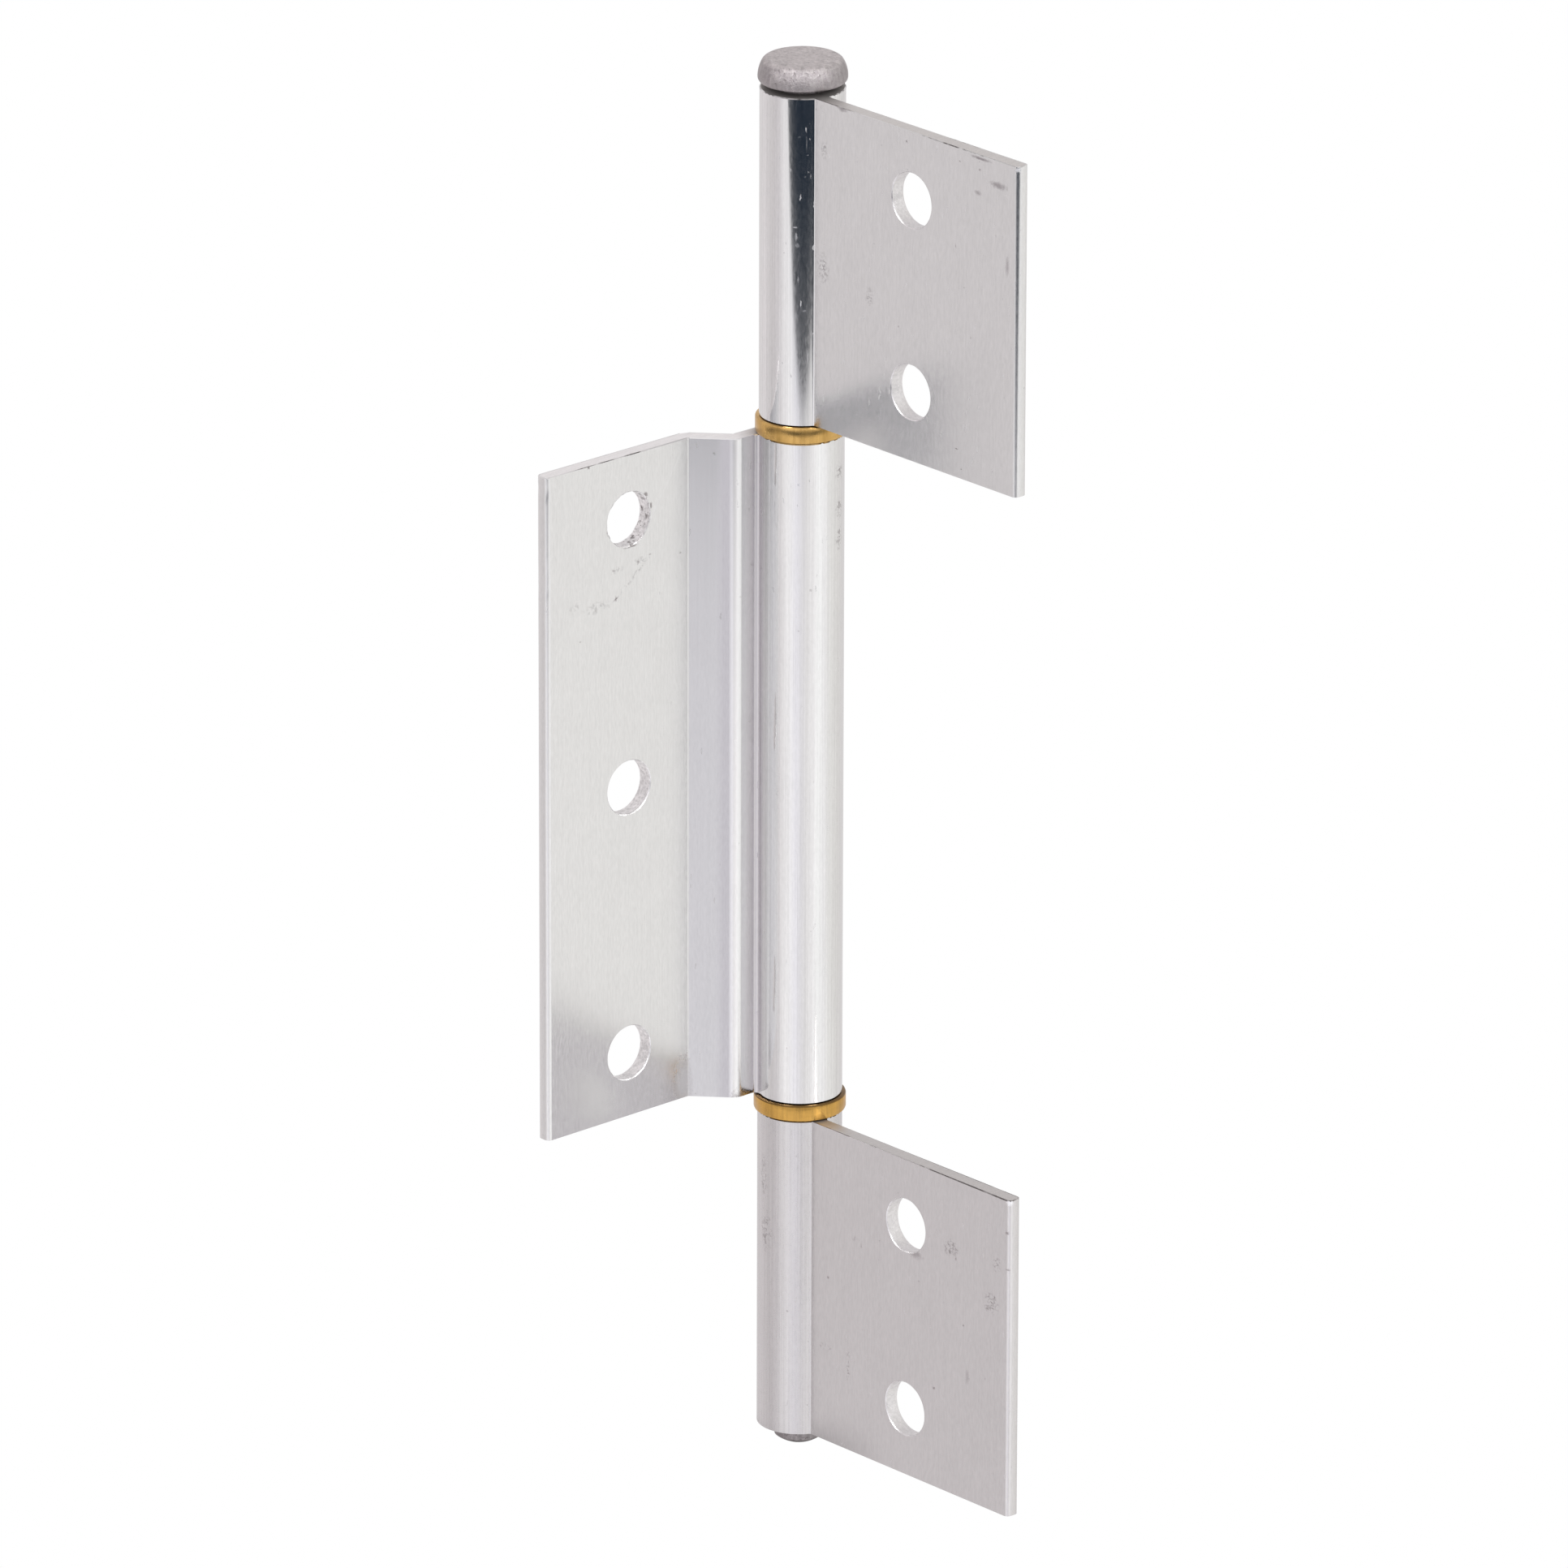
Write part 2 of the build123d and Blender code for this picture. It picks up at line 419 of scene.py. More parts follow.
@dataclass(frozen=True)
class MillSkin:
    """Extruded aluminium as it leaves the die: fleck along Z, faint lines, specks and marks, with painted
    shade and painted highlights in bands and in some marks.
    """

    name: str
    tone: Triple
    roughness: float = 0.2
    knuckle_roughness: float = 0.08
    knuckle_share: float = 1.0       # the knuckle's brightness against the leaf's
    line_depth: float = 0.0007
    fleck_contrast: float = 0.05
    speck_share: float = 0.05
    speck_tone: Triple = (0.18, 0.155, 0.155)
    scratch_share: float = 0.06
    seed_offset: float = 0.0         # sets each leaf's patterns apart
    marks: tuple[Mark, ...] = ()
    # Bands of painted shade and painted highlight along the section.
    painted_light_bands: tuple[PaintedLightBand, ...] = ()

    def patch(self, bench: NodeBench, mark: Mark) -> Socket:
        """A mark's reach: its strength at its middle, 0 outside it, with a ragged edge."""
        broad = mark.kind in (MarkKind.RUB_AND_SHADE, MarkKind.SCUFF, MarkKind.HAZE_AND_SHADE)
        ragged = bench.noise(bench.millimetres(), 2.6 if broad else 6.5, 4.0, 0.7)
        waver, outer, inner = (1.2, 1.45, 0.85) if broad else (1.8, 1.75, 1.25)
        inputs = {
            "Vector": bench.add("TexCoord").outputs["Object"],
            "Location": tuple(METRE * value for value in mark.place),
            "Rotation": tuple(radians(angle) for angle in mark.lean),
            "Scale": tuple(METRE * value for value in mark.size),
        }
        within = bench.add("Mapping", inputs, vector_type="TEXTURE").outputs["Vector"]
        reach = bench.plus(bench.length(within), bench.times(ragged, waver))
        return bench.times(bench.span(reach, outer, inner), mark.strength)

    def material(self) -> bpy.types.Material:
        """Build the finish."""
        bench = NodeBench(bpy.data.materials.new(self.name))
        offset = (self.seed_offset,) * 3
        shifted = bench.add("VectorMath", {0: bench.millimetres(), 1: offset}, operation="ADD").outputs[0]
        flecks = bench.noise(bench.stretch(shifted, (5.0, 5.0, 1.2)), 1.0, 3.0, 0.6)
        lines = bench.noise(bench.stretch(shifted, (5.0, 5.0, 0.035)), 1.0, 3.0, 0.6)
        clouds = bench.noise(shifted, 0.22, 4.0, 0.6)
        on_knuckle = self.on_knuckle(bench)
        specks = bench.larger(self.specks(bench, shifted), self.scuffing(bench, shifted))
        scratches = self.scratches(bench, shifted)
        shade = bench.span(flecks, 0.25, 0.75, 1.0 - self.fleck_contrast, 1.0 + self.fleck_contrast)
        streaks = bench.times(bench.swing(lines, 1.0), bench.between(on_knuckle, 0.014, 0.07))
        shade = bench.plus(bench.plus(shade, streaks), bench.swing(clouds, 0.012))
        shade = bench.times(shade, bench.between(on_knuckle, 1.0, self.knuckle_share))
        colour = bench.shaded(self.tone, shade)
        rough = bench.between(on_knuckle, self.roughness, self.knuckle_roughness)
        rough = bench.plus(rough, bench.span(flecks, 0.3, 0.7, -0.02, 0.03))
        rough = bench.plus(rough, bench.times(scratches, 0.4))
        # Painted shade and painted highlights, in bands along the section.
        for band in self.painted_light_bands:
            inside = band.inside(bench)
            colour = bench.mix(inside, colour, bench.shaded(band.tone, shade))
            rough = bench.math("SUBTRACT", rough, bench.times(inside, band.polish))
        # Marks other than scuffs: real rubs and chips, and painted shade and painted highlights.
        for mark in self.marks:
            if mark.kind is MarkKind.SCUFF:
                continue
            patch = self.patch(bench, mark)
            tint, dulling = MARK_LOOKS[mark.kind]
            colour = bench.mix(patch, colour, tint)
            rough = bench.plus(rough, bench.times(patch, dulling))
        colour = bench.mix(bench.times(specks, 0.6), colour, self.speck_tone)
        line_height = bench.times(lines, bench.between(on_knuckle, 1.0, 3.5))
        fleck_height = bench.times(flecks, bench.between(on_knuckle, 1.0, 0.12))
        speck_height = bench.times(specks, -1.0)
        return bench.metal(colour, rough, (line_height, self.line_depth), (fleck_height, 0.0006),
                           (speck_height, 0.012))

    def on_knuckle(self, bench: NodeBench) -> Socket:
        """1 on the round knuckle, which is drawn brighter or duller than the leaf, and 0 on the leaf."""
        return bench.span(bench.from_pin(), KNUCKLE_RADIUS + 0.3, KNUCKLE_RADIUS + 0.05)

    def scratches(self, bench: NodeBench, vector: Socket) -> Socket:
        """Short scratches along Z, slightly leant, which scatter what the metal mirrors."""
        drawn = bench.stretch(bench.warp(vector, 0.9, 2.0, 0.6), (2.4, 2.4, 0.5))
        distance, chance, _ = bench.cells(drawn, 1.0)
        chosen = bench.math("LESS_THAN", chance, self.scratch_share)
        return bench.times(chosen, bench.span(distance, 0.24, 0.12))

    def specks(self, bench: NodeBench, vector: Socket) -> Socket:
        """Fine dark specks: rare all over and thicker in loose patches."""
        drawn = bench.stretch(bench.warp(vector, 5.0, 3.0, 0.45), (1.0, 1.0, 0.7))
        crowded = bench.span(bench.noise(vector, 0.1, 3.0, 0.5), 0.5, 0.72, 0.25, 1.6)
        share = bench.times(crowded, self.speck_share)
        layers = []
        for scale, reach in ((1.1, 0.13), (2.6, 0.16)):
            distance, chance, bulk = bench.cells(drawn, scale)
            chosen = bench.math("LESS_THAN", chance, share)
            size = bench.between(bench.math("POWER", bulk, 2.0), 0.3 * reach, reach)
            inside = bench.span(bench.math("DIVIDE", distance, size), 1.2, 0.6)
            layers.append(bench.times(chosen, inside))
        return bench.larger(*layers)

    def scuffing(self, bench: NodeBench, vector: Socket) -> Socket:
        """Curly hairline scratches and grit, only inside the scuffs."""
        reach, *others = (self.patch(bench, mark) for mark in self.marks if mark.kind is MarkKind.SCUFF)
        for patch in others:
            reach = bench.larger(reach, patch)
        curl = bench.math("ABSOLUTE", bench.plus(bench.noise(vector, 1.1, 4.0, 0.65), -0.5))
        hairline = bench.span(curl, 0.05, 0.02)
        broken = bench.span(bench.noise(vector, 2.4, 2.0, 0.5), 0.44, 0.52)
        grit = bench.span(bench.noise(vector, 4.2, 3.0, 0.7), 0.57, 0.63)
        both = bench.larger(bench.times(hairline, broken), grit)
        return bench.times(reach, both)


# The tone of each mark's middle, and how much rougher the metal is there. The rub tone serves real rubs and
# painted shade alike, the glint tone is a painted highlight, and the haze tone is painted shade over a
# reflection.
MARK_LOOKS = {
    MarkKind.RUB_AND_SHADE: ((0.22, 0.19, 0.2), 0.25),
    MarkKind.CHIP: ((0.2, 0.17, 0.17), 0.2),
    MarkKind.GLINT: ((0.9, 0.9, 0.92), 0.25),
    MarkKind.HAZE_AND_SHADE: ((0.6, 0.59, 0.6), 0.4),
}


@dataclass(frozen=True)
class SawnEnd:
    """The ends of a leaf where the saw cut it to length: matt, with faint curved tooth marks, and painted
    shade near the pin.
    """

    name: str
    tone: Triple = (0.66, 0.64, 0.625)
    roughness: float = 0.42
    # Painted shade near the pin, under the pin's head and the washers, where the end also gets rougher.
    pin_shade: Triple = (0.13, 0.115, 0.11)
    pin_shade_start: float = 7.6
    pin_shade_end: float = 3.6

    def material(self) -> bpy.types.Material:
        """Build the finish."""
        bench = NodeBench(bpy.data.materials.new(self.name))
        across = {"Vector": bench.millimetres(), "Rotation": (0.0, 0.0, 0.5), "Scale": (4.0, 0.5, 0.5)}
        marks = bench.noise(bench.add("Mapping", across).outputs["Vector"], 1.2, 3.0, 0.6)
        grain = bench.noise(bench.millimetres(), 6.0, 3.0, 0.6)
        shade = bench.plus(bench.swing(grain, 0.05, 1.0), bench.swing(marks, 0.05))
        colour = bench.shaded(self.tone, shade)
        # Painted shade, darkening the end towards the pin.
        shaded_near_pin = bench.span(bench.from_pin(), self.pin_shade_start, self.pin_shade_end, 0.0, 0.75)
        colour = bench.mix(shaded_near_pin, colour, self.pin_shade)
        rough = bench.plus(bench.swing(grain, 0.06, self.roughness), bench.times(shaded_near_pin, 0.4))
        return bench.metal(colour, rough, (marks, 0.006), (grain, 0.004))


@dataclass(frozen=True)
class SawBurr:
    """The fine burr along the edges of a sawn end, with a painted shadow along it in stretches."""

    name: str
    tone: Triple
    # The dark colour is a painted shadow of the burr, laid in stretches; a lower dark level gives more of
    # them.
    dark: Triple = (0.15, 0.135, 0.135)
    dark_level: float = 0.56
    roughness: float = 0.38

    def material(self) -> bpy.types.Material:
        """Build the finish."""
        bench = NodeBench(bpy.data.materials.new(self.name))
        stretches = bench.noise(bench.millimetres(), 0.16, 4.0, 0.6)
        fine = bench.noise(bench.millimetres(), 3.0, 3.0, 0.7)
        # Painted shadow along the burr, in random stretches.
        held = bench.span(stretches, self.dark_level - 0.03, self.dark_level + 0.04)
        held = bench.times(held, bench.span(fine, 0.3, 0.5, 0.55, 1.0))
        colour = bench.mix(held, self.tone, self.dark)
        return bench.metal(colour, self.roughness, (fine, 0.01))


@dataclass(frozen=True)
class PunchedWall:
    """The wall of a punched screw hole: burnished where it sheared and torn below that."""

    name: str
    tone: Triple = (0.87, 0.86, 0.86)
    tearing: float = 0.3
    chip: Triple = (0.12, 0.1, 0.1)
    chipped_above: float = 100.0     # walls above this height are chipped; 100 leaves all plain

    def material(self) -> bpy.types.Material:
        """Build the finish."""
        bench = NodeBench(bpy.data.materials.new(self.name))
        torn = bench.noise(bench.millimetres(), 2.6, 4.0, 0.7)
        fine = bench.noise(bench.millimetres(), 8.0, 2.0, 0.6)
        shade = bench.span(torn, 0.35, 0.65, 1.0 - self.tearing, 1.0 + 0.3 * self.tearing)
        colour = bench.shaded(self.tone, shade)
        chips = bench.span(bench.noise(bench.millimetres(), 1.7, 4.0, 0.75), 0.55, 0.6)
        chips = bench.times(chips, bench.span(bench.along("Z"), self.chipped_above, self.chipped_above + 2.0))
        colour = bench.mix(bench.times(chips, 0.8), colour, self.chip)
        rough = bench.span(torn, 0.3, 0.7, 0.45, 0.22)
        return bench.metal(colour, rough, (torn, 0.1 * self.tearing), (fine, 0.008))


@dataclass(frozen=True)
class TurnedBrass:
    """Brass turned on a lathe about Z, handled and lightly tarnished in streaks along Z."""

    name: str
    tone: Triple = (0.70, 0.44, 0.15)
    tarnish: Triple = (0.42, 0.25, 0.07)
    speck: Triple = (0.16, 0.08, 0.02)
    # The top rim's dark colour stands for grime and painted shade in the gap under the knuckle above.
    grime_and_gap_shade: Triple = (0.1, 0.055, 0.02)
    grime_and_shade_above: float = 100.0       # brass above this height is darkened by grime and painted gap shade; 100 leaves all clean

    def material(self) -> bpy.types.Material:
        """Build the finish."""
        bench = NodeBench(bpy.data.materials.new(self.name))
        rings = bench.noise(bench.millimetres((0.25, 0.25, 9.0)), 1.0, 3.0, 0.6)
        streaks = bench.noise(bench.millimetres((1.5, 1.5, 0.12)), 1.0, 4.0, 0.65)
        patches = bench.noise(bench.millimetres((0.3, 0.3, 0.25)), 1.0, 3.0, 0.6)
        specks = bench.noise(bench.millimetres(), 4.5, 3.0, 0.7)
        worn = bench.span(streaks, 0.45, 0.68, 0.0, 0.55)
        worn = bench.plus(worn, bench.span(patches, 0.42, 0.66, 0.0, 0.45))
        colour = bench.mix(worn, self.tone, self.tarnish)
        colour = bench.mix(bench.span(specks, 0.66, 0.74, 0.0, 0.6), colour, self.speck)
        colour = bench.shaded(colour, bench.span(rings, 0.3, 0.7, 0.94, 1.05))
        # Grime and painted gap shade on the rim above a height.
        held = bench.span(bench.along("Z"), self.grime_and_shade_above, self.grime_and_shade_above + 0.1, 0.0, 0.85)
        colour = bench.mix(held, colour, self.grime_and_gap_shade)
        rough = bench.span(patches, 0.35, 0.7, 0.2, 0.34)
        return bench.metal(colour, rough, (rings, 0.0015), (streaks, 0.004), (specks, 0.001))


@dataclass(frozen=True)
class HeadedSteel:
    """Dull plated steel wire with a cold-headed end: mottled, finely pitted, with draw marks, a painted
    highlight on the crown, and painted shade on the tip and under the head.
    """

    name: str = "headed_steel"
    tone: Triple = (0.375, 0.348, 0.353)
    # Painted light: the crown's lighter tone stands for the light that falls on the top of the head.
    crown_painted_light: Triple = (0.56, 0.525, 0.525)
    dark: Triple = (0.16, 0.14, 0.14)
    crown_start: float = 82.5
    crown_end: float = 82.95
    # Painted shade: the dark colour on the tip, and under the head round the shank.
    tip_shade_start: float = -80.9
    tip_shade_end: float = -82.1
    underside_shade_start: float = 80.42
    underside_shade_end: float = 80.27
    shank_radius: float = 2.8

    def material(self) -> bpy.types.Material:
        """Build the finish."""
        bench = NodeBench(bpy.data.materials.new(self.name))
        mottle = bench.noise(bench.millimetres((1.0, 1.0, 0.8)), 0.9, 4.0, 0.7)
        draw = bench.noise(bench.millimetres((2.6, 2.6, 0.22)), 1.0, 3.0, 0.6)
        grain = bench.noise(bench.millimetres(), 3.3, 4.0, 0.75)
        pits = bench.span(bench.noise(bench.millimetres(), 2.8, 4.0, 0.7), 0.58, 0.68)
        height = bench.along("Z")
        wavy = bench.plus(height, bench.swing(mottle, 0.12))
        # The crown's painted light, with a wavy edge.
        crown = bench.span(wavy, self.crown_start, self.crown_end)
        # Painted shade darkening the tip.
        tip = bench.span(height, self.tip_shade_start, self.tip_shade_end, 0.0, 0.4)
        shade = bench.plus(bench.swing(mottle, 0.14), bench.swing(draw, 0.15, 1.0))
        shade = bench.plus(shade, bench.swing(grain, 0.1))
        # Painted shade under the head, beside the shank.
        under = bench.span(height, self.underside_shade_start, self.underside_shade_end, 0.0, 0.8)
        under = bench.times(under, bench.span(bench.from_pin(), self.shank_radius, self.shank_radius + 0.3))
        colour = bench.mix(crown, self.tone, self.crown_painted_light)
        colour = bench.shaded(colour, shade)
        colour = bench.mix(bench.times(pits, 0.5), colour, self.dark)
        colour = bench.mix(bench.larger(tip, under), colour, self.dark)
        rough = bench.span(grain, 0.58, 0.68, 0.42, 0.2)
        return bench.metal(colour, rough, (grain, 0.085), (draw, 0.02), (mottle, 0.03),
                           (bench.times(pits, -1.0), 0.03))


Finish = MillSkin | SawnEnd | SawBurr | PunchedWall | TurnedBrass | HeadedSteel


@dataclass(frozen=True)
class Nick:
    """A knock in a leaf's free edge: its height, depth and half length in millimetres."""

    height: float
    depth: float
    spread: float


@dataclass
class ExtrudedLeaf:
    """A leaf sawn from an extrusion: a knuckle with a leaf beside it, built in (u, n).

    u runs out from the pin's axis along the leaf, and n towards the side that shows.
    """

    node: str
    bottom: float
    length: float
    out: Vector
    showing: Vector
    hole_heights: tuple[float, ...]
    hole_distance: float
    knuckle_radius: float = KNUCKLE_RADIUS
    bore_radius: float = 2.86
    hole_radius: float = 3.175
    end_break: float = 0.14
    root_radius: float = 0.3
    round_segments: int = 72
    edge_zone: float = 0.75          # how far the free edge's knocks reach in
    edge_step: float = 0.45
    edge_waver: float = 0.008
    hole_ease: float = 0.1
    nicks: tuple[Nick, ...] = ()
    hole_tear: tuple[float, ...] = ()

    def place(self, point: Vector, height: float = 0.0) -> Vector:
        """A point of the section, lifted to a height, in the hinge's frame."""
        return self.out * point.x + self.showing * point.y + Vector((0.0, 0.0, height))

    def leaf_path(self) -> list[Vector]:
        """The leaf's outline from its showing root round the free end to its hidden root."""
        raise NotImplementedError

    def holed_faces(self) -> tuple[float, float]:
        """The depth n of the showing and the hidden face that the screw holes pass through."""
        raise NotImplementedError

    def root_arc(self, depth: float, side: int) -> list[Vector]:
        """The small fillet where one face of the leaf meets the knuckle.

        Args:
            depth: n of the face.
            side: 1 for a showing face, -1 for a hidden one.

        Returns:
            Points from the knuckle to the face.
        """
        middle_n = depth + side * self.root_radius
        ring = self.knuckle_radius + self.root_radius
        middle = Vector((sqrt(ring**2 - middle_n**2), middle_n))
        on_knuckle = middle * (self.knuckle_radius / ring)
        return arc(middle, on_knuckle, Vector((middle.x, depth)), 6)

    def outline(self) -> list[Vector]:
        """The whole outline of the section, without its bore."""
        leaf = self.leaf_path()
        showing_root = self.root_arc(leaf[0].y, 1)
        hidden_root = self.root_arc(leaf[-1].y, -1)
        knuckle = arc(Vector((0, 0)), hidden_root[0], showing_root[0], 116, long_way=True)
        return showing_root[1:] + leaf[1:-1] + hidden_root[:0:-1] + knuckle

    def section_mesh(self) -> bmesh.types.BMesh:
        """The extruded section, capped at both ends, with its bore."""
        bm = bmesh.new()
        ring = [bm.verts.new(self.place(point, self.bottom)) for point in self.outline()]
        for start, end in zip(ring, ring[1:] + ring[:1]):
            bm.edges.new((start, end))
        lift = Matrix.Translation((0.0, 0.0, self.bottom))
        bmesh.ops.create_circle(bm, cap_ends=False, radius=self.bore_radius, segments=self.round_segments,
                                matrix=lift)
        bmesh.ops.triangle_fill(bm, use_beauty=True, edges=bm.edges[:])
        raised = bmesh.ops.extrude_face_region(bm, geom=bm.faces[:])
        top = [item for item in raised["geom"] if isinstance(item, bmesh.types.BMVert)]
        bmesh.ops.translate(bm, vec=(0.0, 0.0, self.length), verts=top)
        bmesh.ops.recalc_face_normals(bm, faces=bm.faces)
        return bm

    def ease_ends(self, bm: bmesh.types.BMesh) -> None:
        """Break the edges round both sawn ends and mark what the saw cut."""
        for sign in (-1, 1):
            cap = [face for face in bm.faces if face.normal.z * sign > 0.9]
            rim = {vert for edge in border_of(cap) for vert in edge.verts}
            eased = bmesh.ops.inset_region(bm, faces=cap, thickness=self.end_break, use_even_offset=True,
                                           use_boundary=True)
            for face in eased["faces"]:
                face.material_index = Zone.BURR
            outer = [vert for vert in rim if any(abs(face.normal.z) < 0.5 for face in vert.link_faces)]
            bmesh.ops.translate(bm, vec=(0.0, 0.0, -sign * self.end_break * 0.8), verts=outer)
            for face in cap:
                face.material_index = Zone.SAWN

    def part_edge(self, bm: bmesh.types.BMesh, free_end: float) -> None:
        """Divide the free edge's strips along Z, so that knocks can dent it."""
        strips = [
            edge
            for edge in bm.edges
            if abs(edge.verts[0].co.z - edge.verts[1].co.z) > self.length / 2
            and edge.verts[0].co.dot(self.out) > free_end
        ]
        bmesh.ops.subdivide_edges(bm, edges=strips, cuts=int(self.length / self.edge_step))

    def dent_edge(self, bm: bmesh.types.BMesh, free_end: float) -> None:
        """Push the free edge in at its nicks, with a slight waver all along it."""
        for vert in bm.verts:
            reach = vert.co.dot(self.out)
            if reach < free_end:
                continue
            waver = noise.noise(Vector((0.9 * vert.co.z, 3.0 * vert.co.x, 3.0 * vert.co.y))) * self.edge_waver
            press = sum(
                nick.depth * max(0.0, 1.0 - ((vert.co.z - nick.height) / nick.spread) ** 2)
                for nick in self.nicks
            )
            vert.co -= self.out * (press * (0.4 + 1.4 * abs(waver) / self.edge_waver) - min(0.0, waver))

    def punch_holes(self, bm: bmesh.types.BMesh) -> None:
        """Cut the screw holes: open both faces, fill them again round the holes and wall them."""
        showing, hidden = self.holed_faces()
        rings: list[list[list[bmesh.types.BMEdge]]] = []
        for height, tear in zip(self.hole_heights, self.hole_tear or (0.02,) * len(self.hole_heights)):
            rings.append(self.hole_rings(bm, height, showing, hidden, tear))
        for side, depth, order in ((1, showing, 0), (-1, hidden, -1)):
            region = [
                face
                for face in bm.faces
                if face.normal.dot(self.showing) * side > 0.9999
                and abs(face.calc_center_median().dot(self.showing) - depth) < 0.01
            ]
            border = border_of(region)
            bmesh.ops.delete(bm, geom=region, context="FACES_ONLY")
            inner = [edge for edge in bm.edges if not edge.link_faces and edge not in border]
            ringed = {edge for hole in rings for ring in hole for edge in ring}
            bmesh.ops.delete(bm, geom=[edge for edge in inner if edge not in ringed], context="EDGES")
            edges = border + [edge for hole in rings for edge in hole[order]]
            bmesh.ops.triangle_fill(bm, use_beauty=True, edges=edges)
        for hole in rings:
            for first, second in zip(hole, hole[1:]):
                wall = bmesh.ops.bridge_loops(bm, edges=first + second)
                for face in wall["faces"]:
                    face.material_index = Zone.PUNCHED

    def hole_rings(self, bm: bmesh.types.BMesh, height: float, showing: float, hidden: float,
                   tear: float) -> list[list[bmesh.types.BMEdge]]:
        """Rings of edges down one screw hole, from the showing face to the hidden one.

        Args:
            bm: the leaf's mesh.
            height: height of the hole's centre.
            showing: n of the showing face.
            hidden: n of the hidden face.
            tear: how ragged the wall is, in millimetres.

        Returns:
            One list of edges for each ring.
        """
        ease = self.hole_ease
        depths = (0.0, 0.45 * ease, ease, 0.35, 0.6, 0.85, 1.0)
        swell = (1.0, 0.4, 0.0, 0.0, 0.0, 0.0, 0.45)
        facing = Matrix((self.out, Vector((0, 0, 1)), self.showing)).transposed().to_4x4()
        rings = []
        for level, (depth, rise) in enumerate(zip(depths, swell)):
            share = depth if depth > ease else depth / (showing - hidden)
            n = showing + (hidden - showing) * share
            centre = self.place(Vector((self.hole_distance, n)), height)
            ring = bmesh.ops.create_circle(
                bm, cap_ends=False, radius=self.hole_radius + ease * rise, segments=self.round_segments,
                matrix=Matrix.Translation(centre) @ facing,
            )["verts"]
            for vert in ring:
                away = vert.co - centre
                rough = noise.noise(Vector((away.x, away.y, away.z)) * 1.3 + Vector((height, 1.7 * level, 0)))
                vert.co += away.normalized() * rough * tear * (0.35 if level in (0, len(depths) - 1) else 1.0)
            edges = {edge for vert in ring for edge in vert.link_edges}
            rings.append(sorted(edges, key=lambda edge: edge.index))
        return rings

    def build(self) -> bpy.types.Object:
        """Build the leaf."""
        bm = self.section_mesh()
        free_end = max(point.x for point in self.leaf_path()) - self.edge_zone
        self.ease_ends(bm)
        self.part_edge(bm, free_end)
        bm.normal_update()
        self.punch_holes(bm)
        self.dent_edge(bm, free_end)
        bmesh.ops.remove_doubles(bm, verts=bm.verts, dist=1e-5)
        return finish_mesh(bm, self.node + "_metal")


@dataclass
class JambLeaf(ExtrudedLeaf):
    """A short flat leaf for the jamb."""

    thickness: float = 1.75
    reach: float = 37.15
    back_offset: float = 0.38
    edge_radius: float = 0.55

    def holed_faces(self) -> tuple[float, float]:
        """The depth n of the showing and the hidden face."""
        return self.back_offset + self.thickness, self.back_offset

    def leaf_path(self) -> list[Vector]:
        """Straight out, round the free edge and straight back."""
        showing, hidden = self.holed_faces()
        root_showing = Vector((0.0, showing))
        tip_showing = Vector((self.reach, showing))
        tip_hidden = Vector((self.reach, hidden))
        root_hidden = Vector((0.0, hidden))
        return [
            root_showing,
            *round_corner(root_showing, tip_showing, tip_hidden, self.edge_radius, 5),
            *round_corner(tip_showing, tip_hidden, root_hidden, self.edge_radius, 5),
            root_hidden,
        ]


@dataclass
class DoorLeaf(ExtrudedLeaf):
    """The long leaf for the door: a strip, a slanted step and the screw face."""

    thickness: float = 1.78
    strip_inset: float = 0.46
    strip_reach: float = 7.22
    step_run: float = 3.76
    step_depth: float = 4.1
    reach: float = 32.0
    edge_radius: float = 0.55
    bend_inner: float = 0.3
    bend_outer: float = 1.6

    def holed_faces(self) -> tuple[float, float]:
        """The depth n of the showing and the hidden screw face."""
        showing = self.strip_inset + self.thickness - self.knuckle_radius - self.step_depth
        return showing, showing - self.thickness

    def leaf_path(self) -> list[Vector]:
        """Out along the strip, down the step, out to the free edge and back behind."""
        face, back = self.holed_faces()
        strip_face = face + self.step_depth
        strip_back = strip_face - self.thickness
        mitre = self.thickness * tan(atan2(self.step_depth, self.step_run) / 2)
        step_end = self.strip_reach + self.step_run
        corners = [
            (Vector((0.0, strip_face)), 0.0, 0),
            (Vector((self.strip_reach, strip_face)), self.bend_outer, 8),
            (Vector((step_end, face)), self.bend_inner, 4),
            (Vector((self.reach, face)), self.edge_radius, 5),
            (Vector((self.reach, back)), self.edge_radius, 5),
            (Vector((step_end - mitre, back)), self.bend_outer, 8),
            (Vector((self.strip_reach - mitre, strip_back)), self.bend_inner, 4),
            (Vector((0.0, strip_back)), 0.0, 0),
        ]
        path = [corners[0][0]]
        for before, (corner, radius, steps), after in zip(corners, corners[1:], corners[2:]):
            path += round_corner(before[0], corner, after[0], radius, steps)
        return [*path, corners[-1][0]]


@dataclass
class ThrustWasher:
    """A turned ring between two knuckles."""

    node: str
    bottom: float
    outer_radius: float = 5.22
    bore_radius: float = 2.9
    thickness: float = 1.9
    edge_break: float = 0.22

    def build(self) -> bpy.types.Object:
        """Spin the ring's section about the pin and ease its outer rims."""
        low, high = self.bottom, self.bottom + self.thickness
        inner, outer = self.bore_radius, self.outer_radius
        section = [Vector(corner) for corner in ((inner, low), (outer, low), (outer, high), (inner, high))]
        bm = spin_section(section, closed=True, steps=120)
        bmesh.ops.recalc_face_normals(bm, faces=bm.faces)
        rims = [edge for edge in bm.edges
                if all(abs(vert.co.xy.length - outer) < 1e-4 for vert in edge.verts)
                and abs(edge.verts[0].co.z - edge.verts[1].co.z) < 1e-4]
        bmesh.ops.bevel(bm, geom=rims, offset=self.edge_break, offset_type="OFFSET", affect="EDGES",
                        segments=2, profile=0.5, material=-1)
        return finish_mesh(bm, self.node + "_brass", 35.0)


